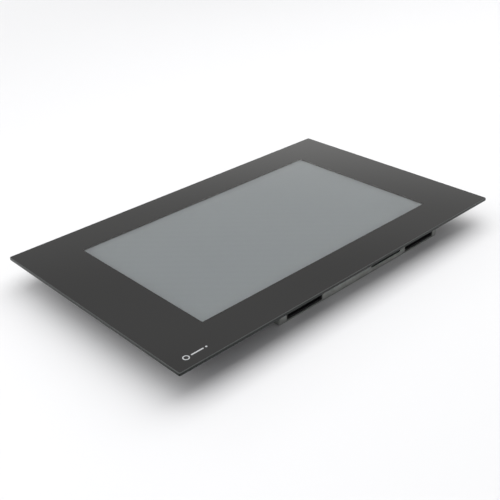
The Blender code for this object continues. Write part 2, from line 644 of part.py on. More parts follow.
# ---------------------------------------------------------------- service port
usb_x = service_x + USB_OFFSET
usb_low = part_top - USB_HEIGHT
usb = block("usb_port", (usb_x - USB_WIDTH / 2, socket_face, usb_low),
            (usb_x + USB_WIDTH / 2, socket_face + USB_DEPTH, part_top), bright_paint)
usb_mouth = slab((usb_x - USB_WIDTH / 2 + USB_SHELL, socket_face - USB_SHELL,
                  usb_low + USB_SHELL),
                 (usb_x + USB_WIDTH / 2 - USB_SHELL, socket_face + USB_DEPTH - 2 * USB_SHELL,
                  part_top - USB_SHELL))
combine(usb, usb_mouth, "DIFFERENCE", "mouth")
usb_tongue = slab((usb_x - USB_WIDTH / 4, socket_face + 2 * USB_SHELL,
                   part_top - 3 * USB_SHELL),
                  (usb_x + USB_WIDTH / 4, socket_face + USB_DEPTH - USB_SHELL,
                   part_top - 2 * USB_SHELL))
combine(usb, usb_tongue, "UNION", "tongue")


# ---------------------------------------------------------------- reset button and switch
reset_x = service_x + RESET_OFFSET
reset_z = part_top - RESET_BODY_HEIGHT / 2
reset_face = socket_face - RESET_TRAVEL - GAP
switch_face = board_bottom + GAP
stem_end = reset_face + RESET_STEM_LENGTH
reset_switch = block("reset_switch",
                     (reset_x - RESET_BODY / 2, switch_face, part_top - RESET_BODY_HEIGHT),
                     (reset_x + RESET_BODY / 2, switch_face + RESET_BODY, part_top), chip_paint)
stem_bore = bmesh.new()
add_rod(stem_bore, (reset_x, switch_face - GAP, reset_z),
        (reset_x, stem_end + RESET_TRAVEL + GAP, reset_z), RESET_STEM_RADIUS + GAP, sides=16)
combine(reset_switch, stem_bore, "DIFFERENCE", "bore")
rod("reset_button", (reset_x, reset_face, reset_z), (reset_x, stem_end, reset_z),
    RESET_STEM_RADIUS, white_paint, home=(reset_x, reset_face, reset_z), sides=16)


# ---------------------------------------------------------------- parts under the main board
CHIP_SIZE = 19.0 * MM
CHIP_THICK = 1.2 * MM
CHIP_SHIFT_X, CHIP_SHIFT_Y = -5.5 * MM, 10.0 * MM    # from the middle of the board
SPREADER_SIZE = 30.0 * MM
chip_low = part_top - CHIP_THICK
chip_x = TRAY_SHIFT + CHIP_SHIFT_X
chip_y = CHIP_SHIFT_Y
block("processor", (chip_x - CHIP_SIZE / 2, chip_y - CHIP_SIZE / 2, chip_low),
      (chip_x + CHIP_SIZE / 2, chip_y + CHIP_SIZE / 2, part_top), chip_paint)
block("heat_spreader",
      (chip_x - SPREADER_SIZE / 2, chip_y - SPREADER_SIZE / 2, TRAY_SHEET + GAP),
      (chip_x + SPREADER_SIZE / 2, chip_y + SPREADER_SIZE / 2, chip_low - GAP),
      alloy_paint, chamfer=0.5 * MM)

MEMORY_SHIFT = 26.0 * MM        # to the right of the processor
memory_x = chip_x + MEMORY_SHIFT
MEMORY_WIDTH, MEMORY_LENGTH, MEMORY_THICK = 10.0 * MM, 12.5 * MM, 1.0 * MM
block("memory_chip",
      (memory_x - MEMORY_WIDTH / 2, chip_y - MEMORY_LENGTH / 2, part_top - MEMORY_THICK),
      (memory_x + MEMORY_WIDTH / 2, chip_y + MEMORY_LENGTH / 2, part_top), chip_paint)

COIN_INSET_X, COIN_INSET_Y = 29.6 * MM, 37.1 * MM    # inside the board's right and top edges
COIN_RADIUS, COIN_THICK = 10.0 * MM, 3.2 * MM
HOLDER_WALL = 0.9 * MM
coin_x = board_right - COIN_INSET_X
coin_y = board_upper - COIN_INSET_Y
holder_radius = COIN_RADIUS + GAP + HOLDER_WALL
holder_low = part_top - HOLDER_WALL - GAP - COIN_THICK
coin_holder = rod("coin_cell_holder", (coin_x, coin_y, holder_low), (coin_x, coin_y, part_top),
                  holder_radius, chip_paint, sides=32)
holder_cup = bmesh.new()
add_rod(holder_cup, (coin_x, coin_y, holder_low - GAP), (coin_x, coin_y, part_top - HOLDER_WALL),
        COIN_RADIUS + GAP, sides=32)
combine(coin_holder, holder_cup, "DIFFERENCE", "cup")
rod("coin_cell", (coin_x, coin_y, holder_low), (coin_x, coin_y, holder_low + COIN_THICK),
    COIN_RADIUS, bright_paint, sides=32)

BUZZER_INSET_X, BUZZER_INSET_Y = 18.6 * MM, 32.1 * MM    # inside the left and top edges
BUZZER_RADIUS, BUZZER_HEIGHT = 6.0 * MM, 5.5 * MM
buzzer_x = board_left + BUZZER_INSET_X
buzzer_y = board_upper - BUZZER_INSET_Y
rod("buzzer", (buzzer_x, buzzer_y, part_top - BUZZER_HEIGHT), (buzzer_x, buzzer_y, part_top),
    BUZZER_RADIUS, chip_paint, sides=28)

POWER_INSET = 29.1 * MM         # inductor and capacitors inside the board's lower edge
power_y = board_bottom + POWER_INSET
INDUCTOR_SIZE, INDUCTOR_HEIGHT = 10.0 * MM, 5.0 * MM
CAPACITOR_RADIUS, CAPACITOR_HEIGHT = 4.0 * MM, 6.5 * MM
CAPACITOR_PITCH = 11.0 * MM
inductor_x = power_header_x + INDUCTOR_SIZE
block("power_inductor",
      (inductor_x - INDUCTOR_SIZE / 2, power_y - INDUCTOR_SIZE / 2, part_top - INDUCTOR_HEIGHT),
      (inductor_x + INDUCTOR_SIZE / 2, power_y + INDUCTOR_SIZE / 2, part_top),
      chip_paint, corner=1.5 * MM, steps=3)
for number in (1, 2):
    capacitor_x = inductor_x + INDUCTOR_SIZE / 2 + (number - 0.4) * CAPACITOR_PITCH
    rod(f"filter_capacitor_{number}", (capacitor_x, power_y, part_top - CAPACITOR_HEIGHT),
        (capacitor_x, power_y, part_top), CAPACITOR_RADIUS, alloy_paint, sides=24)


# ---------------------------------------------------------------- earth stud and nut
stud_foot = tray_right - TRAY_SHEET - GAP
profile = [(0.0, STUD_LENGTH), (STUD_RADIUS, STUD_LENGTH), (STUD_RADIUS, 0.0),
           (STUD_HEAD_RADIUS, 0.0), (STUD_HEAD_RADIUS, -TRAY_SHEET), (0.0, -TRAY_SHEET)]
turned("earth_stud", profile, (stud_foot, STUD_Y, stud_z), (1, 0, 0), bright_paint)
nut_face = tray_right + GAP
nut = rod("earth_nut", (nut_face, STUD_Y, stud_z), (nut_face + NUT_THICK, STUD_Y, stud_z),
          NUT_FLATS / 2, bright_paint, sides=6, flat_radius=True)
nut_bore = bmesh.new()
add_rod(nut_bore, (nut_face - GAP, STUD_Y, stud_z),
        (nut_face + NUT_THICK + GAP, STUD_Y, stud_z), STUD_RADIUS + GAP)
combine(nut, nut_bore, "DIFFERENCE", "bore")


# ---------------------------------------------------------------- swing clamps
# At rest each pawl lies along the housing's side, pointing to the middle of that side.
# A quarter turn of its screw swings it outwards, and then it is drawn up on the thread.
clamp_number = 0
for side in (-1, 1):
    for end in (-1, 1):
        clamp_number += 1
        axis_point = Vector((clamp_x * side, CLAMP_SPREAD * end, 0.0))
        pawl_back = pawl_front - PAWL_THICK
        tip = axis_point.y - end * PAWL_REACH
        root = axis_point.y + end * PAWL_WIDTH / 2
        pawl_shape = bmesh.new()
        add_box(pawl_shape,
                (axis_point.x - PAWL_WIDTH / 2, min(tip, root), pawl_back),
                (axis_point.x + PAWL_WIDTH / 2, max(tip, root), pawl_front))
        bevel_edges(pawl_shape,
                    lambda edge: upright(edge) and abs(edge.verts[0].co.y - root) < GAP,
                    0.96 * PAWL_WIDTH / 2, 6)
        bevel_edges(pawl_shape,
                    lambda edge: upright(edge) and abs(edge.verts[0].co.y - tip) < 1e-6,
                    PAWL_WIDTH / 5, 3)
        pawl_home = axis_point + Vector((0, 0, pawl_back))
        pawl = place(f"clamp_pawl_{clamp_number}", pawl_shape, clamp_paint, pawl_home)
        pawl_bore = bmesh.new()
        add_rod(pawl_bore, axis_point + Vector((0, 0, pawl_back - GAP)),
                axis_point + Vector((0, 0, pawl_front + GAP)), CLAMP_THREAD_RADIUS + GAP)
        combine(pawl, pawl_bore, "DIFFERENCE", "bore")
        head_top = pawl_back - GAP
        tip_z = housing_front - 3 * GAP
        profile = [(0.0, tip_z), (CLAMP_THREAD_RADIUS, tip_z), (CLAMP_THREAD_RADIUS, head_top),
                   (CLAMP_HEAD_RADIUS, head_top),
                   (CLAMP_HEAD_RADIUS, head_top - CLAMP_HEAD_HEIGHT),
                   (0.0, head_top - CLAMP_HEAD_HEIGHT)]
        turned(f"clamp_screw_{clamp_number}", profile, axis_point, (0, 0, 1), bright_paint)
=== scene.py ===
"""The looks of a cabinet-mounted HMI touch panel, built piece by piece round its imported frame."""

import math

import bmesh
import bpy
from mathutils import Matrix, Quaternion, Vector


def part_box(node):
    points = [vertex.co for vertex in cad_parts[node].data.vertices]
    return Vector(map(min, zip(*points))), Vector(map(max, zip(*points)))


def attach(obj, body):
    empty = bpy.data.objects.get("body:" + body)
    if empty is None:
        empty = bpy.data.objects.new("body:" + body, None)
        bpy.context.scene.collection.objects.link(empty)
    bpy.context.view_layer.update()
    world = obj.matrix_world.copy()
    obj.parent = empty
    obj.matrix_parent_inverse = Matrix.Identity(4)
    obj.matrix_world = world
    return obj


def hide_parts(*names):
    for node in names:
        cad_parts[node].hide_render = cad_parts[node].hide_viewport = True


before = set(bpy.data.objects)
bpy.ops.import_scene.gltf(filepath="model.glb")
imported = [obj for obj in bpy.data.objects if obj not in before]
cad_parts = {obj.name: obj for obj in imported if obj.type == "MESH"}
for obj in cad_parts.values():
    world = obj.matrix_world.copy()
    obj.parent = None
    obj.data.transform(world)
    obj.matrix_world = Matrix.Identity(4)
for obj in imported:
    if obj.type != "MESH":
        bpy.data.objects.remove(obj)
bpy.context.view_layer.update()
mm = 0.001


# ---------------------------------------------------------------- studio
# A white table under one wide softbox, longer along the panel than across it, with a bright
# white wall at the far side, which is what black glass shows. A small light, kept out of
# reflections, washes the table behind the panel.
def area_light(name, shape, sides, energy, location):
    """A flat lamp that faces straight down, with its sides in metres."""
    lamp = bpy.data.objects.new(name, bpy.data.lights.new(name, "AREA"))
    lamp.data.shape = shape
    lamp.data.size, lamp.data.size_y = sides
    lamp.data.energy = energy
    lamp.location = location
    scene.collection.objects.link(lamp)
    return lamp


def add_node(tree, kind, links=(), **values):
    """Add a node, set its properties and inputs, and wire (input, source socket) pairs."""
    node = tree.nodes.new(kind)
    for label, value in values.items():
        if hasattr(node, label):
            setattr(node, label, value)
        else:
            node.inputs[label.replace("_", " ")].default_value = value
    for target, source in links:
        tree.links.new(source, node.inputs[target])
    return node


def new_material(name, colour, roughness=0.5, metallic=0.0, specular=0.5):
    """A Principled material and the parts of it that a pattern is wired to."""
    material = bpy.data.materials.new(name)
    material.use_nodes = True
    tree = material.node_tree
    shader = tree.nodes["Principled BSDF"]
    shader.inputs["Base Color"].default_value = (*colour, 1.0)
    shader.inputs["Roughness"].default_value = roughness
    shader.inputs["Metallic"].default_value = metallic
    shader.inputs["Specular IOR Level"].default_value = specular
    material.diffuse_color = (*colour, 1.0)
    return material, tree, shader


scene = bpy.context.scene
scene.view_settings.view_transform = "Standard"

aim = Vector((-30.44, -21.0, 22.5)) * mm
view_azimuth, view_elevation = math.radians(42.76), math.radians(29.12)
view_distance, view_roll = 559.7 * mm, math.radians(-1.80)
backwards = Vector((-math.sin(view_azimuth) * math.cos(view_elevation),
                    -math.cos(view_azimuth) * math.cos(view_elevation),
                    math.sin(view_elevation)))
camera = bpy.data.objects.new("camera", bpy.data.cameras.new("camera"))
camera.data.lens = 57.94
camera.data.sensor_width = 36.0
camera.data.clip_start = 0.01
camera.location = aim + backwards * view_distance
camera.rotation_mode = "QUATERNION"
camera.rotation_quaternion = ((-backwards).to_track_quat("-Z", "Y")
                              @ Quaternion((0.0, 0.0, 1.0), view_roll))
scene.collection.objects.link(camera)
scene.camera = camera

area_light("softbox", "RECTANGLE", (4.4, 1.2), 25.5, (0.0, 0.07, 1.0))
table_wash = area_light("table_wash", "DISK", (0.6, 0.6), 1.7, (0.2, 1.3, 0.6))
table_wash.visible_glossy = False

# the wall is brightest low down, and fades to the room's grey to its sides
world = bpy.data.worlds.new("white_studio")
world.use_nodes = True
scene.world = world
sky = world.node_tree
room_grey, backdrop_white = (0.50, 0.50, 0.51, 1.0), (0.88, 0.88, 0.89, 1.0)
wall_azimuth = math.radians(50.0)
wall_warmth = Vector((1.0, 0.995, 0.98))
direction = add_node(sky, "ShaderNodeTexCoord").outputs["Generated"]
towards_wall = add_node(sky, "ShaderNodeVectorMath", operation="DOT_PRODUCT",
                        links=((0, direction),))
towards_wall.inputs[1].default_value = (math.sin(wall_azimuth), math.cos(wall_azimuth), 0.0)
wall = add_node(sky, "ShaderNodeMapRange", interpolation_type="SMOOTHSTEP",
                From_Min=0.30, From_Max=0.90,
                links=(("Value", towards_wall.outputs["Value"]),))
upward = add_node(sky, "ShaderNodeSeparateXYZ", links=(("Vector", direction),))
wall_shade = add_node(sky, "ShaderNodeValToRGB", links=(("Fac", upward.outputs["Z"]),))
wall_shade.color_ramp.interpolation = "EASE"
levels = wall_shade.color_ramp.elements
levels.remove(levels[-1])
for elevation, light in ((0.0, 0.95), (20.0, 1.05), (26.5, 0.62), (30.0, 0.56), (36.0, 0.68)):
    level = levels.new(math.sin(math.radians(elevation))) if elevation else levels[0]
    level.color = (*(wall_warmth * light), 1.0)
room = add_node(sky, "ShaderNodeMix", data_type="RGBA", A=room_grey,
                links=(("Factor", wall.outputs["Result"]), ("B", wall_shade.outputs["Color"])))

# seen directly, the room is as pale as the table
ray = add_node(sky, "ShaderNodeLightPath")
backdrop = add_node(sky, "ShaderNodeMix", data_type="RGBA", B=backdrop_white,
                    links=(("Factor", ray.outputs["Is Camera Ray"]),
                           ("A", room.outputs["Result"])))
sky.links.new(backdrop.outputs["Result"], sky.nodes["Background"].inputs["Color"])

floor_half, floor_drop = 4.0, 0.2 * mm
floor_paint = new_material("white_table", (0.78, 0.78, 0.785), 0.9, specular=0.1)[0]
floor_shape = bmesh.new()
bmesh.ops.create_grid(floor_shape, x_segments=1, y_segments=1, size=floor_half)
bmesh.ops.translate(floor_shape, verts=floor_shape.verts, vec=(0.0, 0.0, -floor_drop))
floor_mesh = bpy.data.meshes.new("table_top")
floor_shape.to_mesh(floor_mesh)
floor_shape.free()
floor_mesh.materials.append(floor_paint)
floor = bpy.data.objects.new("table_top", floor_mesh)
scene.collection.objects.link(floor)


# ---------------------------------------------------------------- cover glass
# One sheet of toughened soda-lime glass, 2.5 mm thick, with ground and polished edges. The
# border is black ink printed on its back, and the display is bonded behind the clear window.
def solid(name, bm, paints, node=None, body="panel"):
    """Make a piece from a bmesh in its final place: it rides on a body, and may replace a node."""
    bmesh.ops.recalc_face_normals(bm, faces=bm.faces)
    mesh = bpy.data.meshes.new(name)
    bm.to_mesh(mesh)
    bm.free()
    for paint in paints:
        mesh.materials.append(paint)
    piece = bpy.data.objects.new(name, mesh)
    scene.collection.objects.link(piece)
    mesh.shade_smooth()
    mesh.set_sharp_from_angle(angle=math.radians(25.0))
    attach(piece, body)
    if node:
        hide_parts(node)


def measured(node):
    """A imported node's lowest and highest corners in millimetres."""
    low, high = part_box(node)
    return low / mm, high / mm


def add_box(bm, low, high):
    """A box between two corners, given in millimetres."""
    low, high = Vector(low) * mm, Vector(high) * mm
    made = bmesh.ops.create_cube(bm, size=1.0)["verts"]
    bmesh.ops.scale(bm, vec=high - low, verts=made)
    bmesh.ops.translate(bm, vec=(low + high) / 2, verts=made)


def bevel(bm, chosen, width, steps):
    """Round the edges for which chosen(edge) is true by a width in millimetres."""
    bmesh.ops.bevel(bm, geom=[edge for edge in bm.edges if chosen(edge)], offset=width * mm,
                    segments=steps, profile=0.5, affect="EDGES", material=-1,
                    clamp_overlap=True)


def upright(edge):
    """A test for edges that run along Z."""
    return all(abs(edge.verts[0].co[axis] - edge.verts[1].co[axis]) < 1e-7 for axis in (0, 1))


def folded(edge):
    """A test for edges where two faces meet at more than 50 degrees."""
    return len(edge.link_faces) == 2 and edge.calc_face_angle(0.0) > 0.87


def rim(edge):
    """A test for the folded edges round a plate's two faces."""
    return folded(edge) and not upright(edge)


def slab(low, high, corner, steps, ease=0.0):
    """A plate with rounded upright corners, whose faces' edges are eased by a bevel."""
    bm = bmesh.new()
    add_box(bm, low, high)
    bevel(bm, upright, corner, steps)
    if ease:
        bevel(bm, rim, ease, 1)
    return bm


def new_group(name, inputs, outputs):
    """An empty node group with float or vector sockets, and its two end nodes."""
    group = bpy.data.node_groups.new(name, "ShaderNodeTree")
    for label, kind, value in inputs:
        socket = group.interface.new_socket(name=label, in_out="INPUT", socket_type=kind)
        socket.default_value = value
    for label, kind in outputs:
        group.interface.new_socket(name=label, in_out="OUTPUT", socket_type=kind)
    start = group.nodes.new("NodeGroupInput")
    end = group.nodes.new("NodeGroupOutput")
    return group, start, end


def patterned(tree, kind, scale, stretch=None, **values):
    """A texture node on the piece's own coordinates, which may be stretched first."""
    place = add_node(tree, "ShaderNodeTexCoord").outputs["Object"]
    if stretch:
        place = add_node(tree, "ShaderNodeMapping", Scale=stretch,
                         links=(("Vector", place),)).outputs["Vector"]
    return add_node(tree, "ShaderNodeTex" + kind, Scale=scale, links=(("Vector", place),),
                    **values)


def tone(tree, mask, dark, light):
    """A colour between two, by a mask."""
    return add_node(tree, "ShaderNodeMix", data_type="RGBA", A=(*dark, 1.0), B=(*light, 1.0),
                    links=(("Factor", mask),)).outputs["Result"]


def laid_over(tree, mask, under, colour):
    """A colour laid over another, which a node gives, by a mask."""
    return add_node(tree, "ShaderNodeMix", data_type="RGBA", B=(*colour, 1.0),
                    links=(("Factor", mask), ("A", under))).outputs["Result"]


def ramp(tree, mask, low, high):
    """A number between two, by a mask."""
    return add_node(tree, "ShaderNodeMapRange", To_Min=low, To_Max=high,
                    links=(("Value", mask),)).outputs["Result"]


def step(tree, value, start, end):
    """A mask that goes from 0 to 1 as a value goes from a start to an end."""
    return add_node(tree, "ShaderNodeMapRange", From_Min=start, From_Max=end,
                    links=(("Value", value),)).outputs["Result"]


def combined(tree, operation, first, second):
    """Two values put together by a sum, a product or the like."""
    return add_node(tree, "ShaderNodeMath", operation=operation,
                    links=((0, first), (1, second))).outputs["Value"]


def bumped(tree, shader, height, depth):
    """Wire a height to the shader's normal through a bump of a depth in millimetres."""
    bump = add_node(tree, "ShaderNodeBump", Strength=1.0, Distance=depth * mm,
                    links=(("Height", height),))
    tree.links.new(bump.outputs["Normal"], shader.inputs["Normal"])


# a soft-edged rounded rectangle in the X-Y plane, for printed marks
mark_blur = 0.06
print_mark, start, end = new_group(
    "printed_mark",
    [("Centre", "NodeSocketVector", (0.0, 0.0, 0.0)),
     ("Half Size", "NodeSocketVector", (0.001, 0.001, 1.0)),
     ("Radius", "NodeSocketFloat", 0.0005)],
    [("Mask", "NodeSocketFloat")])
place = add_node(print_mark, "ShaderNodeTexCoord")
from_centre = add_node(print_mark, "ShaderNodeVectorMath", operation="SUBTRACT",
                       links=((0, place.outputs["Object"]), (1, start.outputs["Centre"])))
folded_over = add_node(print_mark, "ShaderNodeVectorMath", operation="ABSOLUTE",
                       links=((0, from_centre.outputs["Vector"]),))
past_core = add_node(print_mark, "ShaderNodeVectorMath", operation="SUBTRACT",
                     links=((0, folded_over.outputs["Vector"]), (1, start.outputs["Half Size"])))
outside = add_node(print_mark, "ShaderNodeVectorMath", operation="MAXIMUM",
                   links=((0, past_core.outputs["Vector"]),))
distance = add_node(print_mark, "ShaderNodeVectorMath", operation="LENGTH",
                    links=((0, outside.outputs["Vector"]),))
past_edge = combined(print_mark, "SUBTRACT", distance.outputs["Value"], start.outputs["Radius"])
print_mark.links.new(step(print_mark, past_edge, mark_blur * mm, -mark_blur * mm),
                     end.inputs["Mask"])


def printed(tree, centre, radius, half_size=(0.0, 0.0)):
    """A printed mark's mask: a core of a half size with a radius round it, in millimetres."""
    node = add_node(tree, "ShaderNodeGroup", node_tree=print_mark, Radius=radius * mm,
                    Centre=(centre[0] * mm, centre[1] * mm, 0.0),
                    Half_Size=(half_size[0] * mm, half_size[1] * mm, 1.0))
    return node.outputs["Mask"]


# soft noise for patches of tone, and a fine one for the surface
grain, start, end = new_group(
    "surface_grain",
    [("Patch Scale", "NodeSocketFloat", 40.0), ("Grain Scale", "NodeSocketFloat", 1500.0)],
    [("Patches", "NodeSocketFloat"), ("Grain", "NodeSocketFloat")])
place = add_node(grain, "ShaderNodeTexCoord")
for scale_name, detail, output in (("Patch Scale", 3.0, "Patches"), ("Grain Scale", 2.0, "Grain")):
    noise = add_node(grain, "ShaderNodeTexNoise", Detail=detail,
                     links=(("Vector", place.outputs["Object"]),
                            ("Scale", start.outputs[scale_name])))
    grain.links.new(noise.outputs["Fac"], end.inputs[output])


def grained(tree, patch_scale, grain_scale):
    """The two outputs of the surface grain group, patches and grain."""
    node = add_node(tree, "ShaderNodeGroup", node_tree=grain, Patch_Scale=patch_scale,
                    Grain_Scale=grain_scale)
    return node.outputs["Patches"], node.outputs["Grain"]


glass_ior = 1.52
clear_glass, tree, shader = new_material("clear_glass", (0.94, 0.975, 0.96), 0.01)
shader.inputs["Transmission Weight"].default_value = 1.0
shader.inputs["IOR"].default_value = glass_ior
wipe_marks = grained(tree, 30.0, 260.0)[0]
tree.links.new(ramp(tree, wipe_marks, 0.004, 0.030), shader.inputs["Roughness"])

glass_low, glass_high = measured("front_glass")
glass_corner, glass_ease = 1.0, 0.4
window_half = Vector((111.5, 64.5))
eye_spot, eye_radius = (-6.4, 77.2), 1.4
lamp_spot, lamp_radius = (1.4, 77.2), 0.9
ring_spot, ring_outer, ring_inner = (-141.2, -85.0), 2.2, 1.5
stroke_spot, stroke_radius, stroke_half = (-132.9, -85.0), 0.5, (4.2, 0.0)
dot_spot, dot_radius = (-126.2, -85.0), 0.7
ink_black, mark_grey = (0.0035, 0.0035, 0.0036), (0.44, 0.45, 0.46)
eye_black, lamp_grey = (0.0005, 0.0005, 0.0008), (0.022, 0.023, 0.024)

# the border's ink as it looks through the glass, with a ring, a stroke and a dot as its mark
glossy_ink, tree, shader = new_material("ink_behind_glass", ink_black, 0.02)
shader.inputs["IOR"].default_value = glass_ior
hoop = combined(tree, "SUBTRACT", printed(tree, ring_spot, ring_outer),
                printed(tree, ring_spot, ring_inner))
stroke = printed(tree, stroke_spot, stroke_radius, stroke_half)
mark = combined(tree, "MAXIMUM", combined(tree, "MAXIMUM", hoop, stroke),
                printed(tree, dot_spot, dot_radius))
wipe_marks, dust = grained(tree, 26.0, 900.0)
ink_tone = tone(tree, dust, ink_black, (0.0048, 0.0048, 0.0050))
for mask, colour in ((printed(tree, eye_spot, eye_radius), eye_black),
                     (printed(tree, lamp_spot, lamp_radius), lamp_grey),
                     (mark, mark_grey)):
    ink_tone = laid_over(tree, mask, ink_tone, colour)
tree.links.new(ink_tone, shader.inputs["Base Color"])
tree.links.new(ramp(tree, wipe_marks, 0.015, 0.045), shader.inputs["Roughness"])

# the same ink from behind, where it is dull
border_ink, tree, shader = new_material("border_ink", (0.012, 0.012, 0.012), 0.6, specular=0.2)
patches, speckle = grained(tree, 90.0, 2400.0)
tree.links.new(tone(tree, patches, (0.009, 0.009, 0.009), (0.016, 0.016, 0.017)),
               shader.inputs["Base Color"])
bumped(tree, shader, speckle, 0.01)

# the display under its bonded sensor, whose electrodes just show as a diagonal mesh
display_face, tree, shader = new_material("bonded_display", (0.42, 0.44, 0.46), 0.45, specular=0.2)
cloud = grained(tree, 9.0, 2600.0)[0]
electrodes = patterned(tree, "Wave", 62.0, wave_type="BANDS", bands_direction="DIAGONAL")
base = tone(tree, cloud, (0.355, 0.373, 0.390), (0.374, 0.390, 0.406))
mesh_lines = tone(tree, electrodes.outputs["Fac"], (0.985, 0.985, 0.985), (1.0, 1.0, 1.0))
crossed = add_node(tree, "ShaderNodeMix", data_type="RGBA", blend_type="MULTIPLY", Factor=1.0,
                   links=(("A", base), ("B", mesh_lines)))
tree.links.new(crossed.outputs["Result"], shader.inputs["Base Color"])

# the edge is ground: its eased corners stay frosted, and its side is polished
ground_ease, tree, shader = new_material("ground_glass_ease", (0.057, 0.062, 0.060), 0.42)
frost, scratch = grained(tree, 140.0, 3000.0)
tree.links.new(tone(tree, frost, (0.044, 0.048, 0.046), (0.072, 0.076, 0.074)),
               shader.inputs["Base Color"])
bumped(tree, shader, scratch, 0.008)
glass_side, tree, shader = new_material("polished_glass_side", (0.008, 0.011, 0.010), 0.2,
                                        specular=0.20)
frost, scratch = grained(tree, 110.0, 2600.0)
tree.links.new(tone(tree, frost, (0.005, 0.008, 0.007), (0.011, 0.015, 0.013)),
               shader.inputs["Base Color"])
tree.links.new(ramp(tree, frost, 0.14, 0.26), shader.inputs["Roughness"])
bumped(tree, shader, scratch, 0.004)

# the window's outline is cut into both faces, so that each part of them has its own finish
glass_shape = slab(glass_low, glass_high, glass_corner, 8, ease=glass_ease)
for axis in (0, 1):
    across = Vector((0.0, 0.0, 0.0))
    across[axis] = 1.0
    for side in (-1, 1):
        everything = glass_shape.verts[:] + glass_shape.edges[:] + glass_shape.faces[:]
        bmesh.ops.bisect_plane(glass_shape, geom=everything, dist=1e-7,
                               plane_co=across * window_half[axis] * side * mm, plane_no=across)
bmesh.ops.recalc_face_normals(glass_shape, faces=glass_shape.faces)
glass_paints = [clear_glass, glossy_ink, border_ink, display_face, ground_ease, glass_side]
flat, sloping = 0.99, 0.3
for face in glass_shape.faces:
    middle = face.calc_center_median() / mm
    in_window = abs(middle.x) < window_half.x and abs(middle.y) < window_half.y
    if face.normal.z > flat:
        paint = clear_glass if in_window else glossy_ink
    elif face.normal.z < -flat:
        paint = display_face if in_window else border_ink
    else:
        paint = ground_ease if abs(face.normal.z) > sloping else glass_side
    face.material_index = glass_paints.index(paint)
solid("cover_glass", glass_shape, glass_paints, "front_glass")


# ---------------------------------------------------------------- panel gasket
# A ring of closed-cell foam rubber, 1 mm thick, cut from sheet and stuck to the back of the
# glass. It seals the panel against the cabinet door.
def pierced(bm, half_x, half_y):
    """Open a window through a plate that is centred on the axis, and wall its sides."""
    rims = []
    for side in (-1, 1):
        face = max(bm.faces, key=lambda one: one.calc_center_median().z * side)
        bmesh.ops.inset_individual(bm, faces=[face], thickness=0.1 * mm)
        reach_x = max(abs(vert.co.x) for vert in face.verts)
        reach_y = max(abs(vert.co.y) for vert in face.verts)
        bmesh.ops.scale(bm, verts=face.verts,
                        vec=(half_x * mm / reach_x, half_y * mm / reach_y, 1.0))
        rims.extend(face.edges)
        bmesh.ops.delete(bm, geom=[face], context="FACES_ONLY")
    bmesh.ops.bridge_loops(bm, edges=rims)


foam, tree, shader = new_material("closed_cell_foam", (0.018, 0.018, 0.018), 0.92, specular=0.15)
cells = patterned(tree, "Voronoi", 2600.0, feature="F1").outputs["Distance"]
tree.links.new(tone(tree, cells, (0.010, 0.010, 0.010), (0.030, 0.030, 0.031)),
               shader.inputs["Base Color"])
bumped(tree, shader, cells, 0.12)

gasket_corner, gasket_opening, gasket_ease = 2.0, (133.5, 83.5), 0.15
gasket_shape = slab(*measured("panel_gasket"), gasket_corner, 6)
pierced(gasket_shape, *gasket_opening)
bevel(gasket_shape, rim, gasket_ease, 2)
solid("foam_gasket", gasket_shape, [foam], "panel_gasket")


# ---------------------------------------------------------------- display housing
# An open box moulded in black glass-filled polycarbonate, with a fine spark-eroded finish and
# stiffening ribs behind. It is bonded to the glass and holds the display and the clamps.
edge_wear, start, end = new_group(
    "edge_wear",
    [("From", "NodeSocketFloat", 0.52), ("To", "NodeSocketFloat", 0.60)],
    [("Mask", "NodeSocketFloat")])
shape_data = add_node(edge_wear, "ShaderNodeNewGeometry")
sharp = add_node(edge_wear, "ShaderNodeMapRange",
                 links=(("Value", shape_data.outputs["Pointiness"]),
                        ("From Min", start.outputs["From"]), ("From Max", start.outputs["To"])))
rubbed = patterned(edge_wear, "Noise", 220.0, Detail=3.0)
edge_wear.links.new(combined(edge_wear, "MULTIPLY", sharp.outputs["Result"],
                             rubbed.outputs["Fac"]), end.inputs["Mask"])


def shade(colour, factor):
    """A colour made lighter or darker."""
    return tuple(min(1.0, channel * factor) for channel in colour)


def rubbed_edges(tree, colour, light):
    """Mix a lighter colour in along the edges."""
    wear = add_node(tree, "ShaderNodeGroup", node_tree=edge_wear)
    return laid_over(tree, wear.outputs["Mask"], colour, light)


def moulded(name, colour, roughness=0.5, texture=2200.0, depth=0.03, wear=1.9, metallic=0.0):
    """A moulded finish with a fine texture, faint flow marks and edges rubbed lighter."""
    material, tree, shader = new_material(name, colour, roughness, metallic, specular=0.4)
    flow, pits = grained(tree, 55.0, texture)
    body_tone = tone(tree, flow, shade(colour, 0.85), shade(colour, 1.2))
    tree.links.new(rubbed_edges(tree, body_tone, shade(colour, wear)), shader.inputs["Base Color"])
    tree.links.new(ramp(tree, flow, roughness - 0.07, roughness + 0.07),
                   shader.inputs["Roughness"])
    bumped(tree, shader, pits, depth)
    return material


def eased_copy(name, node, paint, ease):
    """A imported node's shape with its edges eased, in the node's place."""
    bm = bmesh.new()
    bm.from_mesh(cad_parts[node].data)
    bmesh.ops.remove_doubles(bm, verts=bm.verts, dist=1e-6)
    bmesh.ops.dissolve_limit(bm, angle_limit=math.radians(1.0), verts=bm.verts, edges=bm.edges)
    bevel(bm, folded, ease, 2)
    solid(name, bm, [paint], node)


housing_plastic = moulded("glass_filled_moulding", (0.028, 0.028, 0.030), 0.55, wear=1.0)
eased_copy("moulded_housing", "display_housing", housing_plastic, 0.2)

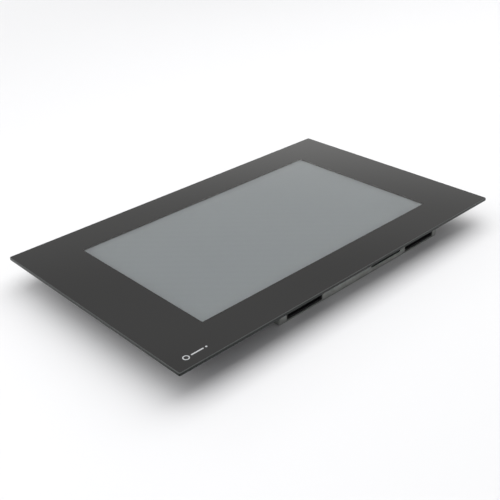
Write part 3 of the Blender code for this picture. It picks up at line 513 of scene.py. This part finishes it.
rib_foot = measured("display_housing")[0].z + 0.1
rib_height, rib_half, rib_step = 1.3, 0.6, 0.2
ribs_along, ribs_up = (-66.0, -44.0, -15.0, 15.0, 44.0, 66.0), (-116.0, -95.0, -73.0)
ribs = bmesh.new()
for rib_y in ribs_along:
    add_box(ribs, (ribs_up[0] - rib_half, rib_y - rib_half, rib_foot - rib_height),
            (ribs_up[-1] + rib_half, rib_y + rib_half, rib_foot))
for rib_x in ribs_up:
    add_box(ribs, (rib_x - rib_half, ribs_along[0] - rib_half, rib_foot - rib_height + rib_step),
            (rib_x + rib_half, ribs_along[-1] + rib_half, rib_foot))
bevel(ribs, folded, 0.25, 2)
solid("housing_ribs", ribs, [housing_plastic])


# ---------------------------------------------------------------- display module
# A liquid crystal cell, a white diffuser and an edge-lit guide of acrylic, held in a folded
# steel bezel and closed by a steel plate. The touch sensor is laminated to the glass.
def paint_nodes(material, *nodes):
    """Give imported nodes, whose shapes are kept, their finish."""
    for node in nodes:
        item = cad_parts[node]
        if not item.material_slots:
            item.data.materials.append(None)
        for paint_slot in item.material_slots:
            paint_slot.link = "OBJECT"
            paint_slot.material = material


def metal(name, colour, roughness, streaks=(1.0, 12.0, 12.0), scale=300.0):
    """A metal with rolling or turning marks, dull patches and edges rubbed bright."""
    material, tree, shader = new_material(name, colour, roughness, 1.0)
    marks = patterned(tree, "Noise", scale, stretch=streaks, Detail=4.0).outputs["Fac"]
    dull = grained(tree, 45.0, 1800.0)[0]
    body_tone = tone(tree, dull, shade(colour, 0.86), shade(colour, 1.1))
    tree.links.new(rubbed_edges(tree, body_tone, shade(colour, 1.5)), shader.inputs["Base Color"])
    tree.links.new(ramp(tree, marks, roughness - 0.10, roughness + 0.12),
                   shader.inputs["Roughness"])
    bumped(tree, shader, marks, 0.01)
    return material


sensor_glass = moulded("sensor_glass", (0.30, 0.34, 0.36), 0.12, texture=900.0, depth=0.002)
cell_glass = moulded("display_cell", (0.24, 0.27, 0.29), 0.22, texture=3000.0, depth=0.004)
white_film = moulded("white_film", (0.78, 0.80, 0.80), 0.5, texture=1500.0, depth=0.01, wear=1.1)
bezel_steel = metal("bezel_steel", (0.52, 0.54, 0.53), 0.36)
paint_nodes(sensor_glass, "touch_sensor")
paint_nodes(cell_glass, "lcd_cell")
paint_nodes(white_film, "diffuser_film", "light_guide")
paint_nodes(bezel_steel, "lcd_bezel", "lcd_back_plate")


# ---------------------------------------------------------------- ribbons
# Tails of amber polyimide film with copper tracks pressed between its layers, from the touch
# sensor, the display and the sensor board down to the main board.
polyimide, tree, shader = new_material("polyimide", (0.45, 0.22, 0.05), 0.32)
tracks = patterned(tree, "Wave", 340.0, wave_type="BANDS", bands_direction="X").outputs["Fac"]
tree.links.new(tone(tree, tracks, (0.36, 0.15, 0.03), (0.62, 0.33, 0.10)),
               shader.inputs["Base Color"])
bumped(tree, shader, tracks, 0.02)
paint_nodes(polyimide, "touch_flex", "lcd_flex", "sensor_cable")


# ---------------------------------------------------------------- boards
# Four-layer glass-epoxy boards under a green solder mask, tracks showing through it as a
# lighter green, with tinned pads.
mask_green, track_green, pad_tin = (0.012, 0.085, 0.045), (0.030, 0.170, 0.085), (0.62, 0.62, 0.60)
track_spacing = 0.08
green_board, tree, shader = new_material("green_board", mask_green, 0.38)
runs = patterned(tree, "Voronoi", 210.0, feature="F1", distance="CHEBYCHEV")
lines = add_node(tree, "ShaderNodeMath", operation="PINGPONG",
                 links=((0, runs.outputs["Distance"]),))
lines.inputs[1].default_value = track_spacing
on_track = step(tree, lines.outputs["Value"], 0.040, 0.055)
pads = patterned(tree, "Voronoi", 330.0, feature="F1")
on_pad = step(tree, pads.outputs["Distance"], 0.16, 0.12)
masked = tone(tree, on_track, mask_green, track_green)
tree.links.new(laid_over(tree, on_pad, masked, pad_tin), shader.inputs["Base Color"])
tree.links.new(on_pad, shader.inputs["Metallic"])
bumped(tree, shader, on_track, 0.035)
paint_nodes(green_board, "main_board", "lcd_driver_board", "led_bar", "sensor_board")


# ---------------------------------------------------------------- rear tray
# Folded from 1 mm galvanised sheet, open towards the glass, with terminal windows in its lower
# wall, two rows of vents and four tabs. A printed rating label lies on its back.
rolled_steel, tree, shader = new_material("galvanised_sheet", (0.46, 0.47, 0.45), 0.42, 1.0)
rolling = patterned(tree, "Noise", 240.0, stretch=(1.0, 14.0, 14.0), Detail=4.0).outputs["Fac"]
spangle = patterned(tree, "Voronoi", 260.0, feature="F1")
spangle_tone = add_node(tree, "ShaderNodeSeparateColor",
                        links=(("Color", spangle.outputs["Color"]),))
zinc_tone = tone(tree, spangle_tone.outputs["Red"], (0.40, 0.41, 0.39), (0.50, 0.51, 0.49))

# the label: a white field, a heading bar, lines of entries and a code block
label_x, label_y = 25.5, 5.0
label_white, heading_grey = (0.80, 0.80, 0.78), (0.10, 0.10, 0.11)
entry_grey, code_black = (0.25, 0.25, 0.26), (0.03, 0.03, 0.03)
line_pitch, bar_pitch = 4.0, 2.2
label_marks = [((0.0, 0.0), 1.0, (33.0, 17.0), label_white),
               ((0.0, 13.0), 0.3, (30.0, 1.6), heading_grey)]
for line in range(6):
    line_half = (15.0 - 1.7 * (line % 3), 0.25)
    label_marks.append(((-13.0, 8.0 - line_pitch * line), 0.1, line_half, entry_grey))
for bar in range(9):
    bar_half = (0.28 + 0.22 * (bar * 5 % 3), 5.0)
    label_marks.append(((10.0 + bar_pitch * bar, -7.0), 0.05, bar_half, code_black))
place = add_node(tree, "ShaderNodeTexCoord")
height = add_node(tree, "ShaderNodeSeparateXYZ", links=(("Vector", place.outputs["Object"]),))
on_rear = step(tree, height.outputs["Z"], 0.3 * mm, 0.2 * mm)
label_cover = None
for spot, radius, half_size, colour in label_marks:
    shape = printed(tree, (label_x + spot[0], label_y + spot[1]), radius, half_size)
    on_label = combined(tree, "MULTIPLY", shape, on_rear)
    zinc_tone = laid_over(tree, on_label, zinc_tone, colour)
    label_cover = label_cover or on_label
tree.links.new(zinc_tone, shader.inputs["Base Color"])
tree.links.new(ramp(tree, label_cover, 1.0, 0.0), shader.inputs["Metallic"])
tree.links.new(ramp(tree, rolling, 0.32, 0.54), shader.inputs["Roughness"])
bumped(tree, shader, rolling, 0.012)
eased_copy("folded_tray", "rear_tray", rolled_steel, 0.12)


# ---------------------------------------------------------------- terminal headers
# Nine-pole sockets moulded in black polyamide, with a thick back and a web between poles. The
# square pins are tinned brass and go through the main board.
def open_shell(low, high, wall):
    """A box open on its -Y side, with a wall of even thickness in millimetres."""
    bm = bmesh.new()
    add_box(bm, low, high)
    mouth = [face for face in bm.faces if face.calc_center_median().y < low[1] * mm + 1e-6]
    bmesh.ops.delete(bm, geom=mouth, context="FACES")
    bmesh.ops.recalc_face_normals(bm, faces=bm.faces)
    bmesh.ops.solidify(bm, geom=bm.faces, thickness=wall * mm)
    return bm


header_plastic = moulded("header_polyamide", (0.006, 0.006, 0.0065), 0.6, texture=1400.0)
tinned = metal("tinned_brass", (0.70, 0.69, 0.66), 0.28, streaks=(8.0, 1.0, 8.0))
poles, pole_pitch = 9, 3.5
pin_half, pin_back_inset, pin_reach, pin_root = 0.5, 1.5, 3.2, 0.6
shroud_wall, shroud_shift, back_thick, back_inset = 1.0, 0.5, 1.4, 0.4
web_half, web_height, web_setback, web_root = 0.3, 1.1, 2.2, 0.2
for header in ("power_header", "signal_header"):
    low, high = measured(header)
    middle = (low + high) / 2
    shroud = open_shell(low, (high.x, high.y - shroud_shift, high.z), shroud_wall)
    add_box(shroud, (low.x + back_inset, high.y - back_thick, low.z + back_inset),
            (high.x - back_inset, high.y, high.z - back_inset))
    for gap in range(poles - 1):
        web_x = middle.x + (gap - (poles - 2) / 2) * pole_pitch
        add_box(shroud,
                (web_x - web_half, low.y + web_setback, low.z + shroud_wall - web_root),
                (web_x + web_half, high.y - shroud_wall, low.z + shroud_wall + web_height))
    bevel(shroud, folded, 0.12, 1)
    solid(header + "_shroud", shroud, [header_plastic], header)

    pins = bmesh.new()
    pin_back = high.y - pin_back_inset
    for pole in range(poles):
        pin_x = middle.x + (pole - (poles - 1) / 2) * pole_pitch
        add_box(pins, (pin_x - pin_half, pin_back - pin_reach, middle.z - pin_half),
                (pin_x + pin_half, pin_back + pin_root, middle.z + pin_half))
    bevel(pins, folded, 0.22, 2)
    solid(header + "_pins", pins, [tinned])


# ---------------------------------------------------------------- screws
# Zinc-plated steel, turned and thread-rolled, with cross recesses: pan heads hold the tray's
# tabs to the housing, and countersunk ones the board's pillars to the tray.
def lathe(profile, sides=40):
    """A round solid along +Z from (radius, height) pairs in millimetres, with flat ends."""
    bm = bmesh.new()
    radius, height = profile[0]
    bmesh.ops.create_circle(bm, cap_ends=True, segments=sides, radius=radius * mm,
                            matrix=Matrix.Translation((0.0, 0.0, height * mm)))
    edge_loop = bm.edges[:]
    for next_radius, next_height in profile[1:]:
        grown = bmesh.ops.extrude_edge_only(bm, edges=edge_loop)["geom"]
        edge_loop = [item for item in grown if isinstance(item, bmesh.types.BMEdge)]
        ring = [item for item in grown if isinstance(item, bmesh.types.BMVert)]
        scale = next_radius / radius
        bmesh.ops.scale(bm, verts=ring, vec=(scale, scale, 1.0))
        bmesh.ops.translate(bm, verts=ring, vec=(0.0, 0.0, (next_height - height) * mm))
        radius, height = next_radius, next_height
    bmesh.ops.contextual_create(bm, geom=edge_loop)
    bmesh.ops.recalc_face_normals(bm, faces=bm.faces)
    return bm


def recess(bm, outline, depth, draft=0.8):
    """Press a recess into the lowest flat face: its rim is at outline(angle) millimetres."""
    face = min(bm.faces, key=lambda one: one.calc_center_median().z - 1e-3 * len(one.verts) * mm)
    bmesh.ops.inset_individual(bm, faces=[face], thickness=0.05 * mm)
    level = face.calc_center_median().z
    for vert in face.verts:
        angle = math.atan2(vert.co.y, vert.co.x)
        reach = outline(angle) * mm
        vert.co = Vector((math.cos(angle) * reach, math.sin(angle) * reach, level))
    floor_face = bmesh.ops.extrude_discrete_faces(bm, faces=[face])["faces"][0]
    bmesh.ops.translate(bm, verts=floor_face.verts, vec=(0.0, 0.0, depth * mm))
    bmesh.ops.scale(bm, verts=floor_face.verts, vec=(draft, draft, 1.0))


def cross(reach):
    """The outline of a cross recess with four arms of a reach in millimetres."""
    return lambda angle: reach * (0.36 + 0.64 * abs(math.cos(2.0 * angle)) ** 6)


def foot_of(node):
    """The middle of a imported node's lowest side, in millimetres."""
    low, high = measured(node)
    return (low.x + high.x) / 2, (low.y + high.y) / 2, low.z


def moved(bm, spot, turn=None):
    """Put a finished shape in its place, given in millimetres."""
    if turn:
        bmesh.ops.transform(bm, matrix=turn, verts=bm.verts)
    bmesh.ops.translate(bm, verts=bm.verts, vec=Vector(spot) * mm)
    return bm


plated = metal("zinc_plate", (0.60, 0.61, 0.63), 0.30, streaks=(6.0, 6.0, 1.0), scale=420.0)
pan_head = ((1.9, 0.0), (2.5, 0.16), (2.8, 0.55), (2.8, 1.6), (1.5, 1.6), (1.5, 4.7))
countersunk = ((2.45, 0.0), (2.6, 0.1), (1.25, 1.0), (1.25, 7.2))
for piece_name, node_name, profile, cross_reach, cross_depth in (
        ("pan_screw", "tray_screw", pan_head, 1.5, 0.95),
        ("countersunk_screw", "board_screw", countersunk, 1.35, 0.6)):
    for number in (1, 2, 3, 4):
        node = f"{node_name}_{number}"
        screw = lathe(profile)
        recess(screw, cross(cross_reach), cross_depth)
        solid(f"{piece_name}_{number}", moved(screw, foot_of(node)), [plated],
              node)
paint_nodes(plated, *(f"board_standoff_{number}" for number in (1, 2, 3, 4)))


# ---------------------------------------------------------------- earth stud
# An M4 bolt through the tray's right wall, with a chamfered hexagon nut, where the protective
# earth wire is fixed.
def hexagon(flats):
    """The outline of a hexagon from its width over flats in millimetres."""
    sector = math.radians(60.0)
    return lambda angle: flats / 2 / math.cos((angle % sector) - sector / 2)


def thread(bm, start_z, turns):
    """Wind an M4 thread's ridge on a shank, from a height in millimetres upwards."""
    crest, root, pitch, steps_a_turn = 1.97, 1.67, 0.7, 24
    ridge = [bm.verts.new(Vector((radius, 0.0, start_z + pitch * share)) * mm)
             for radius, share in ((root, 0.0), (crest, 0.42), (root, 0.84))]
    tooth = bm.faces.new(ridge)
    bmesh.ops.spin(bm, geom=[tooth], cent=(0.0, 0.0, 0.0), axis=(0.0, 0.0, 1.0),
                   dvec=(0.0, 0.0, pitch * mm / steps_a_turn),
                   angle=math.radians(360.0) * turns, steps=turns * steps_a_turn,
                   use_merge=False)


def ring_plate(bore, outline, thickness, foot=0.0):
    """A flat plate round a bore, with its edge at outline(angle), from a height upwards."""
    bm = bmesh.new()
    bmesh.ops.create_circle(bm, cap_ends=False, segments=48, radius=bore * mm)
    grown = bmesh.ops.extrude_edge_only(bm, edges=bm.edges[:])["geom"]
    for vert in [item for item in grown if isinstance(item, bmesh.types.BMVert)]:
        angle = math.atan2(vert.co.y, vert.co.x)
        vert.co = Vector((math.cos(angle), math.sin(angle), 0.0)) * outline(angle) * mm
    bmesh.ops.recalc_face_normals(bm, faces=bm.faces)
    bmesh.ops.solidify(bm, geom=bm.faces, thickness=thickness * mm)
    lowest = min(vert.co.z for vert in bm.verts)
    bmesh.ops.translate(bm, verts=bm.verts, vec=(0.0, 0.0, foot * mm - lowest))
    bevel(bm, folded, 0.25, 2)
    return bm


stud_low, stud_high = measured("earth_stud")
nut_low, nut_high = measured("earth_nut")
stud_middle = (stud_low + stud_high) / 2
stud_profile = ((3.3, 0.0), (3.5, 0.2), (3.5, 1.0), (1.72, 1.0), (1.72, 9.1), (1.3, 9.5))
nut_flats, nut_bore = 7.0, 2.25
lay_along_x = Matrix.Rotation(math.radians(90.0), 4, "Y")
stud = lathe(stud_profile)
thread(stud, 1.2, 11)
nut = ring_plate(nut_bore, hexagon(nut_flats), nut_high.x - nut_low.x)
for name, shape, start_x, node in (("threaded_stud", stud, stud_low.x, "earth_stud"),
                                   ("hexagon_nut", nut, nut_low.x, "earth_nut")):
    solid(name, moved(shape, (start_x, stud_middle.y, stud_middle.z), lay_along_x), [plated],
          node)


# ---------------------------------------------------------------- service window
# Behind the middle window are a steel card socket, the memory card in it, a small data port
# with its shell of drawn steel, and a reset switch with a white stem.
drawn_steel = metal("drawn_steel", (0.62, 0.63, 0.62), 0.30, streaks=(1.0, 10.0, 1.0))
card_plastic = moulded("card_body", (0.018, 0.018, 0.020), 0.38, texture=2600.0, depth=0.01)
switch_plastic = moulded("switch_body", (0.030, 0.030, 0.032), 0.5)
white_stem = moulded("white_stem", (0.72, 0.72, 0.69), 0.42, wear=1.2)
eased_copy("card_socket_shell", "card_socket", drawn_steel, 0.08)
eased_copy("data_port_shell", "usb_port", drawn_steel, 0.06)
eased_copy("switch_body", "reset_switch", switch_plastic, 0.12)

card_low, card_high = measured("memory_card")
card_corner, card_ease = 0.8, 0.08
grip_ribs, grip_pitch, grip_thick, grip_inset = 3, 0.35, 0.17, 1.5
grip_start, grip_proud, grip_root = 0.25, 0.15, 0.05
card = slab((card_low.x, card_low.y, card_low.z + grip_proud), card_high, card_corner, 4,
            ease=card_ease)
for rib in range(grip_ribs):
    rib_y = card_low.y + grip_start + grip_pitch * rib
    add_box(card, (card_low.x + grip_inset, rib_y, card_low.z),
            (card_high.x - grip_inset, rib_y + grip_thick, card_low.z + grip_proud + grip_root))
solid("memory_card_body", card, [card_plastic], "memory_card", "card")

button_low, button_high = measured("reset_button")
button_middle = (button_low + button_high) / 2
lay_along_y = Matrix.Rotation(math.radians(-90.0), 4, "X")
stem = lathe(((0.55, 0.0), (0.74, 0.12), (0.8, 0.3), (0.8, 3.1)), sides=32)
solid("reset_stem", moved(stem, (button_middle.x, button_low.y, button_middle.z), lay_along_y),
      [white_stem], "reset_button", "reset")


# ---------------------------------------------------------------- clamps
# Each is an M4 socket screw through a cast zinc pawl, threaded into the housing. Turning the
# screw swings the pawl out and draws its toothed tip towards the cabinet door.
cast_zinc = moulded("cast_zinc", (0.40, 0.41, 0.42), 0.45, texture=1300.0, depth=0.06, wear=1.5,
                    metallic=0.9)
socket_head = ((3.1, 0.0), (3.5, 0.35), (3.5, 2.8), (1.72, 2.8), (1.72, 12.2), (1.4, 12.5))
key_flats, key_depth = 3.0, 2.0
pawl_half, pawl_reach, pawl_bore, pawl_thick, pawl_foot = 3.5, 12.5, 2.3, 2.0, 0.6
spine_half, spine_start, spine_short, spine_floor, spine_top = 0.7, 3.0, 0.8, 0.05, 0.9
teeth, tooth_half, tooth_reach, tooth_pitch, first_tooth = 3, 0.35, 3.0, 1.3, 1.0
tooth_floor, tooth_top = 2.4, 3.0
half_turn = Matrix.Rotation(math.radians(180.0), 3, "Z")


def pawl_outline(angle):
    """The pawl's edge round the screw: round behind, straight-sided to its tip."""
    ahead, aside = math.sin(angle), abs(math.cos(angle))
    if ahead <= 0.0:
        return pawl_half
    return min(pawl_half / max(aside, 1e-6), (pawl_reach - 0.01) / ahead)


for number in (1, 2, 3, 4):
    axis_x, axis_y, screw_foot = foot_of(f"clamp_screw_{number}")
    screw = lathe(socket_head, sides=48)
    recess(screw, hexagon(key_flats), key_depth, draft=0.98)
    thread(screw, 6.3, 8)
    solid(f"socket_screw_{number}", moved(screw, (axis_x, axis_y, screw_foot)), [plated],
          f"clamp_screw_{number}", f"clamp_{number}_screw")

    pawl = ring_plate(pawl_bore, pawl_outline, pawl_thick, pawl_foot)
    add_box(pawl, (-spine_half, spine_start, spine_floor),
            (spine_half, pawl_reach - spine_short, spine_top))
    for tooth in range(teeth):
        tooth_y = pawl_reach - first_tooth - tooth_pitch * tooth
        add_box(pawl, (-tooth_reach, tooth_y - tooth_half, tooth_floor),
                (tooth_reach, tooth_y + tooth_half, tooth_top))
    pawl_low = measured(f"clamp_pawl_{number}")[0]
    if pawl_low.y > 0:
        bmesh.ops.rotate(pawl, verts=pawl.verts, cent=(0.0, 0.0, 0.0), matrix=half_turn)
    solid(f"toothed_pawl_{number}", moved(pawl, (axis_x, axis_y, pawl_low.z)), [cast_zinc],
          f"clamp_pawl_{number}", f"clamp_{number}_pawl")


# ---------------------------------------------------------------- parts on the boards
# Packages of black epoxy, an extruded heat spreader, two aluminium capacitors, an inductor, a
# buzzer and a coin cell in its holder, all soldered to the main board's rear side.
epoxy = moulded("black_epoxy", (0.022, 0.022, 0.024), 0.42, texture=3200.0, depth=0.008)
aluminium = metal("bare_aluminium", (0.72, 0.73, 0.74), 0.34)
paint_nodes(epoxy, "processor", "memory_chip", "power_inductor", "coin_cell_holder",
            "light_sensor")
paint_nodes(white_stem, "status_led")

spreader_low, spreader_high = measured("heat_spreader")
fin_count, fin_thick, fin_root, plate_thick = 9, 1.2, 0.1, 2.0
fin_pitch = (spreader_high.x - spreader_low.x - fin_thick) / (fin_count - 1)
spreader = bmesh.new()
add_box(spreader, (spreader_low.x, spreader_low.y, spreader_high.z - plate_thick), spreader_high)
for fin in range(fin_count):
    fin_x = spreader_low.x + fin * fin_pitch
    add_box(spreader, (fin_x, spreader_low.y, spreader_low.z),
            (fin_x + fin_thick, spreader_high.y, spreader_high.z - plate_thick + fin_root))
bevel(spreader, folded, 0.15, 1)
solid("finned_spreader", spreader, [aluminium], "heat_spreader")


def height_of(node):
    """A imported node's height in millimetres."""
    low, high = measured(node)
    return high.z - low.z


can_top = height_of("filter_capacitor_1")
can_profile = ((3.6, 0.0), (3.95, 0.3), (4.0, 0.6), (4.0, can_top - 1.5), (3.7, can_top - 1.2),
               (3.7, can_top - 0.9), (4.0, can_top - 0.6), (4.0, can_top))
buzzer_profile = ((1.0, 0.8), (1.0, 0.0), (5.7, 0.0), (6.0, 0.3), (6.0, height_of("buzzer")))
cell_profile = ((8.6, 0.0), (9.3, 0.25), (9.3, 0.8), (10.0, 1.1), (10.0, height_of("coin_cell")))
for name, node, profile, sides, paint, slot in (
        ("capacitor_can_1", "filter_capacitor_1", can_profile, 48, aluminium, "bare_aluminium"),
        ("capacitor_can_2", "filter_capacitor_2", can_profile, 48, aluminium, "bare_aluminium"),
        ("buzzer_case", "buzzer", buzzer_profile, 48, epoxy, "chip_package"),
        ("coin_cell_can", "coin_cell", cell_profile, 64, plated, "plated_fastener")):
    solid(name, moved(lathe(profile, sides), foot_of(node)), [paint], node)
